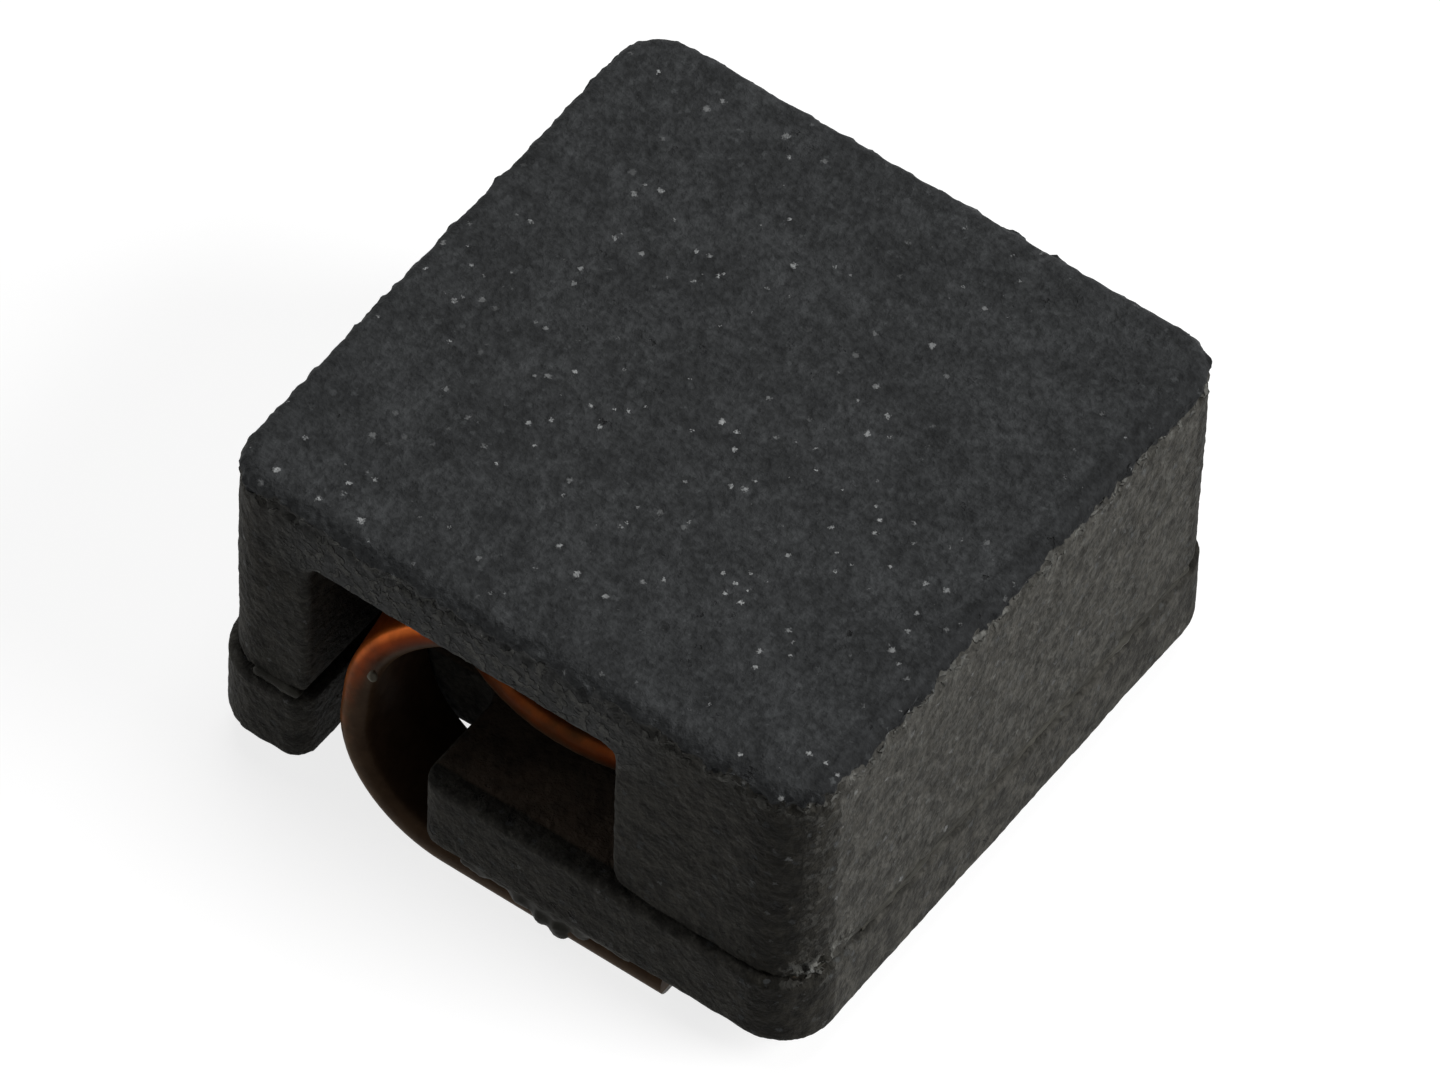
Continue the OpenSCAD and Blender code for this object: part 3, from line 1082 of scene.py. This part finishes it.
@dataclass
class UpperCore:
    """Plate, walls and centre leg, pressed as one piece."""

    low: Vector = field(default_factory=lambda: node_box("upper_core")[0])
    high: Vector = field(default_factory=lambda: node_box("upper_core")[1])
    window: Window = field(default_factory=Window)
    corner: float = 0.53
    shoulder: float = 0.17
    plate: float = 0.87
    chamber_r: float = 2.9
    leg_r: float = 1.4
    leg_root: float = 0.3
    skin: float = 3.42
    corner_at: float = 3.0
    skin_corner: float = 0.45
    shoulder_at: float = 3.3
    face_at: float = 3.35
    crest_drop: float = 0.06
    band_x: float = -0.6
    band_reach: tuple[float, float] = (2.5, 1.6)
    band_height: tuple[float, float] = (-0.25, 0.05)
    left_pillar_x: float = -2.3
    voxel: float = 0.038
    inside_share: float = 0.62

    @property
    def chamber_z(self) -> float:
        """Height of the chamber's roof."""
        return self.high.z - self.plate

    @property
    def side_z(self) -> float:
        """Height at which the side walls end and the shoulder starts."""
        return self.high.z - self.shoulder

    def build(self) -> bpy.types.Object:
        """Models the core.

        Returns:
            The core, in metres.
        """
        obj = Bench.block("upper_core_pressed", self.low, self.high)
        Bench.round_edges(obj, upright, self.corner, steps=10)
        Bench.round_edges(obj, level_at(self.high.z), self.shoulder, steps=6)
        self._cut_windows(obj)
        self._hollow(obj)
        self._ease_rims(obj)
        Bench.remesh(obj, self.voxel)
        self._press(obj)
        self._thin_inside(obj)
        Bench.to_metres(obj)
        return obj

    def _cut_windows(self, obj: bpy.types.Object) -> None:
        """Cuts the window through from face to face.

        Args:
            obj: The core.
        """
        w, roof = self.window, self.chamber_z
        tool = Bench.block(
            "window_tool", (w.x0, self.low.y - 1, self.low.z - 1), (w.x1, self.high.y + 1, roof)
        )
        on_roof = level_at(roof)
        Bench.round_edges(
            tool, lambda a, b: on_roof(a, b) and abs(a.y - b.y) > 1, w.corner, steps=5
        )
        Bench.combine(obj, tool, Cut.TAKE)

    def _hollow(self, obj: bpy.types.Object) -> None:
        """Bores the chamber and leaves the centre leg in it.

        Args:
            obj: The core.
        """
        foot, roof = self.low.z, self.chamber_z
        bore = Bench.post("chamber_tool", self.chamber_r, foot - 1, roof, sides=160)
        Bench.combine(obj, bore, Cut.TAKE)
        leg = Bench.post("leg_tool", self.leg_r, foot, roof + self.leg_root, sides=96)
        Bench.combine(obj, leg, Cut.JOIN)

    def _ease_rims(self, obj: bpy.types.Object) -> None:
        """Rounds the feet of the pillars and the rims of the windows.

        Args:
            obj: The core.
        """
        w, roof = self.window, self.chamber_z
        on_foot = level_at(self.low.z)

        def below_jamb(a: Vector, b: Vector) -> bool:
            """Tells whether an edge is the foot of one of the windows' sides."""
            near = (max(abs(a.x - x), abs(b.x - x)) < TOUCH for x in (w.x0, w.x1))
            return on_foot(a, b) and any(near)

        def on_rim(a: Vector, b: Vector) -> bool:
            """Tells which edges lie on a window's outer rim, clear of its feet.

            Args:
                a: One end of the edge.
                b: Its other end.

            Returns:
                Whether this edge does.
            """
            return not on_foot(a, b) and all(
                abs(abs(p.y) - self.high.y) < TOUCH
                and w.x0 - w.foot - TOUCH <= p.x <= w.x1 + w.foot + TOUCH
                and p.z < roof + TOUCH
                for p in (a, b)
            )

        Bench.round_edges(obj, below_jamb, w.foot, steps=5)
        Bench.round_edges(obj, on_rim, w.rim, steps=3)

    def _outside(self, co: np.ndarray) -> np.ndarray:
        """Tells the outer faces from the inner ones.

        Args:
            co: Points, in millimetres.

        Returns:
            1 for each point on an outer face and 0 for the rest.
        """
        x, y = np.abs(co[:, :2]).T - self.corner_at
        corner = (x > 0) & (y > 0) & (np.hypot(x, y) > self.skin_corner)
        outer = (reach_of(co) > self.skin) | corner | (co[:, 2] > self.side_z)
        return outer.astype(float)

    def _press(self, obj: bpy.types.Object) -> None:
        """Gives the faces their press marks: unevenness, flash and chipped edges.

        The band is the rubbed stretch of the plate over each window, and the crest is where
        the shoulder starts.

        Args:
            obj: The core.
        """
        co = Bench.points(obj)
        x, y, z = co.T
        outside = self._outside(co)
        shoulder = reach_of(co) > self.shoulder_at
        near_crest = hill(z, self.side_z - self.crest_drop, width=0.11) * shoulder
        start, end = (self.chamber_z + height for height in self.band_height)
        band = ramp(np.abs(x - self.band_x), *self.band_reach) * ramp(z, start, end)
        band = band * (np.abs(y) > self.face_at)
        chip = chipped(co)
        scuff = np.maximum.reduce([near_crest, 0.9 * band, chip, 0.22 * (x > self.face_at)])
        Bench.mark(
            obj,
            scuff=scuff * outside * np.where(y > self.shoulder_at, 0.5, 1.0),
            pale=band * outside,
            # Painted shade at the upright corners, strongest on the right.
            corner=near_corner(co) * np.where(x > 0, 1.0, 0.25) * outside,
            # Painted shade on the inner faces, darkest at the left window's side.
            inner=(1 - outside) * np.where(x < self.left_pillar_x, 1.0, 0.3),
            floor=0.0,
        )
        crest = hill(z, self.side_z, width=0.07) * shoulder
        near_side = (x > self.corner_at) | (y < -self.corner_at)
        loose = np.maximum(near_crest * np.where(near_side, 1.0, 0.4), chip)
        Bench.roughen(obj, "swell", grain=0.9, height=0.03, weights=outside, middle=0.6)
        Bench.roughen(
            obj, "powder", grain=0.11, height=0.024, weights=outside * 0.8 + 0.2, middle=0.55
        )
        Bench.roughen(
            obj, "flash", grain=0.22, height=0.17, weights=crest, direction="Z", contrast=1.6
        )
        Bench.roughen(
            obj, "crumbs", grain=0.12, height=0.12, weights=loose, middle=0.65, contrast=1.6
        )

    def _thin_inside(self, obj: bpy.types.Object) -> None:
        """Takes faces from the inner surfaces, which need fewer.

        Args:
            obj: The core.
        """
        group = Bench.weigh(obj, "inside", 1 - self._outside(Bench.points(obj)))
        Bench.apply(
            obj,
            "DECIMATE",
            ratio=self.inside_share,
            vertex_group=group,
            vertex_group_factor=10.0,
        )
        obj.vertex_groups.remove(obj.vertex_groups[group])

    def dress(self, obj: bpy.types.Object) -> None:
        """Gives the core its finish and its place.

        Args:
            obj: The core.
        """
        finish = PressedPowder(top_z=self.high.z * MM, side_z=self.side_z * MM)
        dress(obj, finish.material("Pressed powder, upper core"))
        place(obj, Slot.POWDER, "upper_core")


@dataclass
class LowerCore:
    """Plate under the coil, with a notch at each face for a lead."""

    low: Vector = field(default_factory=lambda: node_box("lower_core")[0])
    high: Vector = field(default_factory=lambda: node_box("lower_core")[1])
    corner: float = 0.605
    bottom_edge: float = 0.07
    top_edge: float = 0.04
    notch_x0: float = -2.38
    notch_x1: float = -1.0
    notch_r: float = 0.22
    mouth_r: float = 0.25
    wire_w: float = 1.25
    wire_gap: float = 0.05
    voxel: float = 0.042
    top_skin: float = 0.02
    inner_reach: float = 3.4
    floor_reach: float = 3.3
    floor_x: float = -2.2

    def build(self) -> bpy.types.Object:
        """Models the core.

        Returns:
            The core, in metres.
        """
        low, high = self.low, self.high
        obj = Bench.block("lower_core_pressed", low, high)
        Bench.round_edges(obj, upright, self.corner, steps=10)
        front, back = node_box("winding")
        self._notch(obj, low.y, front.y + self.wire_w + self.wire_gap)
        self._notch(obj, high.y, back.y - self.wire_w - self.wire_gap)
        Bench.round_edges(obj, level_at(low.z), self.bottom_edge, steps=4)
        Bench.round_edges(obj, level_at(high.z), self.top_edge, steps=3)
        Bench.remesh(obj, self.voxel)
        self._press(obj)
        Bench.to_metres(obj)
        return obj

    def _notch(self, obj: bpy.types.Object, face: float, inner: float) -> None:
        """Cuts one notch and rounds its mouth.

        Args:
            obj: The core.
            face: Place of the face that the notch opens to.
            inner: Place of the notch's back wall.
        """
        x0, x1 = self.notch_x0, self.notch_x1
        y0, y1 = sorted((face + math.copysign(1, face), inner))
        tool = Bench.block("notch_tool", (x0, y0, self.low.z - 1), (x1, y1, self.high.z + 1))
        Bench.round_edges(
            tool, lambda a, b: upright(a, b) and abs(a.y - inner) < TOUCH, self.notch_r, steps=6
        )
        Bench.combine(obj, tool, Cut.TAKE)
        Bench.round_edges(
            obj,
            lambda a, b: upright(a, b)
            and abs(a.y - face) < TOUCH
            and min(abs(a.x - x0), abs(a.x - x1)) < TOUCH,
            self.mouth_r,
            steps=6,
        )

    def _press(self, obj: bpy.types.Object) -> None:
        """Gives the faces their press marks.

        Args:
            obj: The core.
        """
        co = Bench.points(obj)
        x, _, z = co.T
        top = z > self.high.z - self.top_skin
        reach = reach_of(co)
        chip = chipped(co)
        Bench.mark(
            obj,
            scuff=chip,
            pale=0.0,
            # Painted shade at the upright corners, strongest on the right.
            corner=near_corner(co) * np.where(x > 0, 0.9, 0.25),
            # Painted shade on the top of the lower core inside the upper one.
            inner=0.5 * (top & (reach < self.inner_reach)),
            # Where the painted brown glow of light thrown from the coil goes.
            floor=1.0 * (top & (reach < self.floor_reach) & (x > self.floor_x)),
        )
        Bench.roughen(obj, "swell", grain=0.8, height=0.02, middle=0.6)
        Bench.roughen(obj, "powder", grain=0.11, height=0.016, middle=0.6)
        Bench.roughen(
            obj, "crumbs", grain=0.12, height=0.1, weights=chip, middle=0.65, contrast=1.6
        )

    def dress(self, obj: bpy.types.Object) -> None:
        """Gives the core its finish and its place, with no top face or shoulder in it.

        Args:
            obj: The core.
        """
        above = self.high.z * MM + 1
        finish = PressedPowder(top_z=above, side_z=above)
        dress(obj, finish.material("Pressed powder, lower core"))
        place(obj, Slot.POWDER, "lower_core")


@dataclass
class Winding:
    """One length of flat wire: front terminal, lead, coil on edge, lead, back terminal."""

    low: Vector = field(default_factory=lambda: node_box("winding")[0])
    high: Vector = field(default_factory=lambda: node_box("winding")[1])
    wire_w: float = 1.25
    wire_t: float = 0.33
    wire_r: float = 0.13
    turns: int = 3
    pitch: float = 0.425
    exit_angle: float = 20.0
    lead_x: float = -1.975
    low_bend: float = 1.235
    upright: float = 0.33
    reach: float = 1.9
    coil_steps: int = 72
    bend_steps: int = 18
    run_steps: int = 8
    round_steps: int = 5
    lead_length: float = 8.0
    dull_from: float = 6.2
    dull_to: float = 3.6
    edge_from: float = 0.15
    edge_to: float = 0.05
    # In the coil, coil_shade dims the edge and coil_dull dulls the wire: painted shade.
    coil_shade: float = 0.7
    coil_dull: float = 0.5
    slack: float = 0.01
    tinned: float = 0.05

    def __post_init__(self) -> None:
        """Works out the heights and radii that follow from the box and the wire."""
        self.coil_r = self.high.x - self.wire_w / 2
        self.terminal_z = self.wire_t / 2
        self.top_z = self.high.z - self.wire_t / 2
        self.angle = 360 * self.turns + 180 - 2 * self.exit_angle
        self.low_z = self.top_z - self.pitch * self.angle / 360
        self.front_y = self.low.y + self.wire_w / 2
        self.back_y = self.high.y - self.wire_w / 2

    @staticmethod
    def _ease(s: float, length: float, start: float, slope: float, end: float) -> float:
        """Follows a cubic curve that starts with a slope and levels out.

        Args:
            s: Length gone so far.
            length: Whole length.
            start: Value at the start.
            slope: Slope at the start.
            end: Value at the end.

        Returns:
            The value there.
        """
        u = min(s / length, 1)
        return (
            start * (2 * u**3 - 3 * u**2 + 1)
            + slope * length * (u**3 - 2 * u**2 + u)
            + end * (3 * u**2 - 2 * u**3)
        )

    def _lead(
        self, z: float, top_r: float, low_r: float, side: int, end_y: float
    ) -> list[tuple[Vector, Vector]]:
        """Follows one lead from the coil outward.

        Args:
            z: Height at which it leaves the coil.
            top_r: Radius of its upper bend.
            low_r: Radius of its lower bend.
            side: -1 for the front lead and 1 for the back one.
            end_y: Place of the terminal's centre line.

        Returns:
            Centre and direction of the wire's width at each station.
        """
        exit_at = math.radians(self.exit_angle)
        quarter = math.pi / 2
        start = self.coil_r * math.sin(exit_at)
        bend_x, end_x = self.lead_x + top_r, self.lead_x + low_r
        rise_z = self.terminal_z + low_r
        run = start - bend_x
        rise_s = run + quarter * top_r + z - top_r - rise_z
        end_s = rise_s + quarter * low_r
        straight = [i / self.run_steps for i in range(1, self.run_steps + 1)]
        bend = [quarter * i / self.bend_steps for i in range(self.bend_steps + 1)]
        has_upright = z - top_r > rise_z + TOUCH
        flat = [(start - u * run, z, u * run) for u in straight]
        flat += [
            (bend_x - top_r * math.sin(a), z - top_r + top_r * math.cos(a), run + top_r * a)
            for a in bend[1:]
        ]
        flat += [
            (
                self.lead_x + low_r * (1 - math.cos(a)),
                rise_z - low_r * math.sin(a),
                rise_s + low_r * a,
            )
            for a in (bend if has_upright else bend[1:])
        ]
        flat += [
            (end_x + u * (self.reach - end_x), self.terminal_z, end_s + u * (self.reach - end_x))
            for u in straight
        ]
        side_y, slope = side * self.coil_r * math.cos(exit_at), side * math.tan(exit_at)
        stations = []
        for x, height, s in flat:
            turn = math.radians(self._ease(s, end_s, self.exit_angle, 0, 0))
            centre = Vector((x, self._ease(s, end_s, side_y, slope, end_y), height))
            stations.append((centre, Vector((math.sin(turn), side * math.cos(turn), 0))))
        return stations

    def _coil(self) -> list[tuple[Vector, Vector]]:
        """Follows the coil from the front lead down to the back one.

        Returns:
            Centre and direction of the wire's width at each station.
        """
        steps = math.ceil(self.coil_steps * self.angle / 360)
        stations = []
        for i in range(steps + 1):
            a = math.radians(270 + self.exit_angle + self.angle * i / steps)
            out = Vector((math.cos(a), math.sin(a), 0))
            z = self.top_z - (self.top_z - self.low_z) * i / steps
            stations.append((self.coil_r * out + Vector((0, 0, z)), out))
        return stations

    def _frames(self) -> list[Matrix]:
        """Works out how the wire's section lies at each station.

        Returns:
            Frames of the section's width, its thickness and the wire's direction.
        """
        top_r = self.top_z - self.terminal_z - self.low_bend - self.upright
        back_r = (self.low_z - self.terminal_z) / 2
        front = self._lead(self.top_z, top_r, self.low_bend, -1, self.front_y)
        back = self._lead(self.low_z, back_r, back_r, 1, self.back_y)
        stations = [*reversed(front), *self._coil(), *back]
        frames = []
        for i, (centre, width) in enumerate(stations):
            ahead = stations[min(i + 1, len(stations) - 1)][0]
            behind = stations[max(i - 1, 0)][0]
            along = (ahead - behind).normalized()
            across = (width - width.dot(along) * along).normalized()
            frame_at = Matrix((across, along.cross(across), along)).transposed().to_4x4()
            frame_at.translation = centre
            frames.append(frame_at)
        return frames

    def build(self) -> bpy.types.Object:
        """Draws the wire's section along its whole path.

        Returns:
            The winding, in metres.
        """
        frames = self._frames()
        bpy.ops.object.select_all(action="DESELECT")
        bpy.ops.mesh.primitive_plane_add(size=1)
        obj = Bench.settle("winding_wire")
        bpy.ops.object.mode_set(mode="EDIT")
        bpy.ops.mesh.select_all(action="SELECT")
        bpy.ops.transform.resize(value=(self.wire_w, self.wire_t, 1))
        bpy.ops.mesh.bevel(
            offset=self.wire_r, segments=self.round_steps, profile=0.5, affect="VERTICES"
        )
        bpy.ops.mesh.select_all(action="SELECT")
        previous = Matrix.Identity(4)
        for i, frame_at in enumerate(frames):
            if i:
                bpy.ops.mesh.extrude_region_move()
            mesh = bmesh.from_edit_mesh(obj.data)
            move = frame_at @ previous.inverted()
            for point in mesh.verts:
                if point.select:
                    point.co = move @ point.co
            bmesh.update_edit_mesh(obj.data)
            previous = frame_at
        bpy.ops.object.mode_set(mode="OBJECT")
        self._mark(obj, frames)
        Bench.to_metres(obj, 40)
        return obj

    def _mark(self, obj: bpy.types.Object, frames: list[Matrix]) -> None:
        """Stores where each point lies on the wire.

        Args:
            obj: The swept wire.
            frames: The wire's frame at each ring of its points.
        """
        co = Bench.points(obj)
        inner, edge, dull = (np.zeros(len(co)) for _ in range(3))
        best = np.full(len(co), np.inf)
        path = np.cumsum(
            [0.0, *((b.translation - a.translation).length for a, b in zip(frames, frames[1:]))]
        )
        half_w, half_t = self.wire_w / 2, self.wire_t / 2
        for frame_at, gone in zip(frames, path):
            local = (co - np.array(frame_at.translation)) @ np.array(frame_at.to_3x3())
            beyond = np.abs(local[:, :2]) - (half_w + self.slack, half_t + self.slack)
            miss = np.abs(local[:, 2]) + 10 * np.clip(beyond, 0, None).sum(axis=1)
            closer = miss < best
            best[closer] = miss[closer]
            from_end = min(gone, path[-1] - gone)
            in_coil = ramp(from_end, self.lead_length, self.lead_length + 1)
            outer = ramp(local[closer, 0], half_w - self.edge_from, half_w - self.edge_to)
            dulled = ramp(from_end, self.dull_from, self.dull_to)
            inner[closer] = local[closer, 1] / half_t
            # In the coil the edge is dimmed and the wire dulled: painted shade. The wire is also
            # duller towards its ends.
            edge[closer] = (1 - self.coil_shade * in_coil) * outer
            dull[closer] = dulled + self.coil_dull * in_coil
        Bench.mark(obj, inner=inner, edge=edge, dull=dull)

    def dress(self, obj: bpy.types.Object) -> None:
        """Gives the wire its finish and its place."""
        dress(obj, EnamelledCopper(tin_z=self.tinned * MM).material("Enamelled copper"))
        place(obj, Slot.COPPER, "winding")


@dataclass
class SqueezedAdhesive:
    """Adhesive pressed out of the seam, and lumps at the front terminal.

    A strip has its lowest and highest corner, and a bead its centre and half lengths.
    """

    strips: tuple[tuple[Point, Point], ...] = (
        ((3.38, -2.5, 1.27), (3.525, 3.05, 1.36)),
        ((-3.55, -3.0, 1.29), (-3.38, 3.05, 1.37)),
        ((-3.05, -3.55, 1.29), (-2.5, -3.38, 1.4)),
        ((1.4, 3.38, 1.28), (3.0, 3.52, 1.36)),
        ((-0.5, -3.57, 0.3), (1.55, -3.35, 0.42)),
    )
    beads: tuple[tuple[Point, Point], ...] = (
        ((0.2, -3.49, 0.27), (0.17, 0.1, 0.14)),
        ((0.44, -3.5, 0.2), (0.13, 0.09, 0.15)),
        ((0.68, -3.49, 0.16), (0.15, 0.1, 0.15)),
        ((0.93, -3.49, 0.25), (0.13, 0.09, 0.12)),
        ((-0.28, -3.5, 0.3), (0.16, 0.08, 0.09)),
    )
    voxel: float = 0.028

    def build(self) -> bpy.types.Object:
        """Models the strips and beads and melts them together.

        Returns:
            The adhesive, in metres.
        """
        parts = [Bench.block("squeezed_adhesive", low, high) for low, high in self.strips]
        parts += [
            Bench.bead("adhesive_bead", centre, size, rounds=3) for centre, size in self.beads
        ]
        obj = parts[0]
        Bench.pick(obj)
        for other in parts:
            other.select_set(True)
        bpy.ops.object.join()
        Bench.remesh(obj, self.voxel)
        Bench.apply(obj, "SMOOTH", factor=0.5, iterations=4)
        Bench.roughen(obj, "runs", grain=0.3, height=0.07, middle=0.6)
        Bench.roughen(obj, "lumps", grain=0.1, height=0.03)
        Bench.to_metres(obj)
        return obj

    def dress(self, obj: bpy.types.Object) -> None:
        """Gives the adhesive its finish and its place."""
        dress(obj, CuredAdhesive().material("Squeezed adhesive"))
        place(obj, Slot.ADHESIVE)


@dataclass
class GlintBead:
    """Pale bead on the front lead's edge, in the adhesive's finish: a painted glint."""

    centre: Point = (-1.66, -3.44, 2.24)
    size: Point = (0.05, 0.05, 0.065)
    # Painted glint: both tones are pale, far lighter than the adhesive's.
    colour: Colour = (0.16, 0.145, 0.11)
    dusty: Colour = (0.3, 0.28, 0.22)

    def build(self) -> bpy.types.Object:
        """Models the drop.

        Returns:
            The drop, in metres.
        """
        obj = Bench.bead("glint_bead", self.centre, self.size, rounds=4)
        Bench.roughen(obj, "sag", grain=0.07, height=0.035)
        Bench.to_metres(obj)
        return obj

    def dress(self, obj: bpy.types.Object) -> None:
        """Gives the drop its finish and its place."""
        dress(obj, CuredAdhesive(self.colour, self.dusty).material("Painted glint"))
        place(obj, Slot.ADHESIVE)


@dataclass
class BondFilm:
    """Adhesive film in the seam between the cores, which keeps its solid."""

    node: str = "core_bond"

    def build(self) -> bpy.types.Object:
        """Returns the film's solid."""
        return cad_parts[self.node]

    def dress(self, solid: bpy.types.Object) -> None:
        """Gives the film's solid its finish."""
        dress(solid, CuredAdhesive().material("Cured adhesive"))
        LOG.info("%s: solid of the frame kept", solid.name)


# ---------------------------------------------------------------- studio


@dataclass(frozen=True)
class Camera:
    """Viewpoint, in millimetres and degrees, and its clipping in metres."""

    place: Point = (48.486, -71.645, 113.197)
    forward: Point = (-0.34451, 0.50888, -0.78889)
    roll: float = 2.418
    lens: float = 361.81
    sensor: float = 36.0
    clip: tuple[float, float] = (0.01, 10.0)

    def build(self) -> None:
        """Adds the camera and makes it the scene's own."""
        forward = Vector(self.forward).normalized()
        right = forward.cross(Vector((0, 0, 1))).normalized()
        up = right.cross(forward)
        roll = math.radians(self.roll)
        right, up = (
            math.cos(roll) * right + math.sin(roll) * up,
            -math.sin(roll) * right + math.cos(roll) * up,
        )
        data = bpy.data.cameras.new("Camera")
        data.sensor_width = self.sensor
        data.lens = self.lens
        data.clip_start, data.clip_end = self.clip
        obj = bpy.data.objects.new("Camera", data)
        bpy.context.scene.collection.objects.link(obj)
        pose = Matrix((right, up, -forward)).transposed().to_4x4()
        pose.translation = Vector(self.place) * MM
        obj.matrix_world = pose
        bpy.context.scene.camera = obj


@dataclass(frozen=True)
class Lamp:
    """Soft box that faces the object, in metres."""

    name: str
    place: Point
    size: float
    level: float

    def build(self) -> None:
        """Adds the lamp, with a power that gives its level at the object."""
        at = Vector(self.place)
        data = bpy.data.lights.new(self.name, "AREA")
        data.shape = "SQUARE"
        data.size = self.size
        data.energy = self.level * math.pi**2 * at.length_squared
        obj = bpy.data.objects.new(self.name, data)
        bpy.context.scene.collection.objects.link(obj)
        obj.location = at
        obj.rotation_mode = "QUATERNION"
        obj.rotation_quaternion = (-at).to_track_quat("-Z", "Y")


@dataclass(frozen=True)
class Studio:
    """Pale floor, white surroundings and soft lamps."""

    ambient: float = 0.055
    floor_size: float = 1.2
    floor_drop: float = 1e-5
    floor_colour: Colour = (0.3, 0.3, 0.3)
    floor_glow: float = 0.8
    floor_roughness: float = 0.9
    lamps: tuple[Lamp, ...] = (
        Lamp("Right box", (0.17, 0.06, 0.12), 0.12, 1.1),
        Lamp("Top box", (-0.02, 0.06, 0.22), 0.14, 0.42),
        Lamp("Left box", (-0.18, -0.04, 0.05), 0.1, 0.14),
    )

    def build(self) -> None:
        """Adds the floor, the world, the lamps and the camera."""
        self._floor()
        self._world()
        for lamp in self.lamps:
            lamp.build()
        Camera().build()
        bpy.context.scene.view_settings.view_transform = "Standard"

    @staticmethod
    def _seen(graph: Graph) -> Any:
        """Tells which rays see or mirror the surroundings.

        Args:
            graph: Graph of the floor or the world.

        Returns:
            An output that is 1 for those rays and 0 for the rest.
        """
        path = graph.add("ShaderNodeLightPath").outputs
        seen = graph.math("MAXIMUM", path["Is Camera Ray"], path["Is Glossy Ray"])
        return graph.math("MAXIMUM", seen, path["Is Transmission Ray"])

    def _floor(self) -> None:
        """Adds the floor a hair below the terminals' undersides."""
        bpy.ops.object.select_all(action="DESELECT")
        bpy.ops.mesh.primitive_plane_add(size=self.floor_size, location=(0, 0, -self.floor_drop))
        floor = bpy.context.object
        floor.name = "floor"
        material, graph, shader = new_material("Pale floor")
        graph.give(shader, "Base Color", self.floor_colour)
        graph.give(shader, "Roughness", self.floor_roughness)
        graph.give(shader, "Specular IOR Level", 0.0)
        graph.give(shader, "Emission Color", WHITE)
        glow = graph.times(self._seen(graph), self.floor_glow)
        graph.give(shader, "Emission Strength", glow)
        dress(floor, material)

    def _world(self) -> None:
        """Makes the world white where it is seen and dim where it lights."""
        world = bpy.data.worlds.new("Surroundings")
        bpy.context.scene.world = world
        world.use_nodes = True
        graph = Graph(world.node_tree)
        back = next(n for n in world.node_tree.nodes if n.type == "BACKGROUND")
        graph.give(back, "Color", WHITE)
        lit = graph.times(self._seen(graph), 1 - self.ambient)
        graph.give(back, "Strength", graph.plus(lit, self.ambient))


def main() -> None:
    """Builds and dresses every piece, then the studio."""
    logging.basicConfig(level=logging.INFO, format="%(message)s")
    pieces = (UpperCore(), LowerCore(), Winding(), SqueezedAdhesive(), GlintBead(), BondFilm())
    for piece in pieces:
        piece.dress(piece.build())
    Studio().build()


if __name__ == "__main__":
    main()
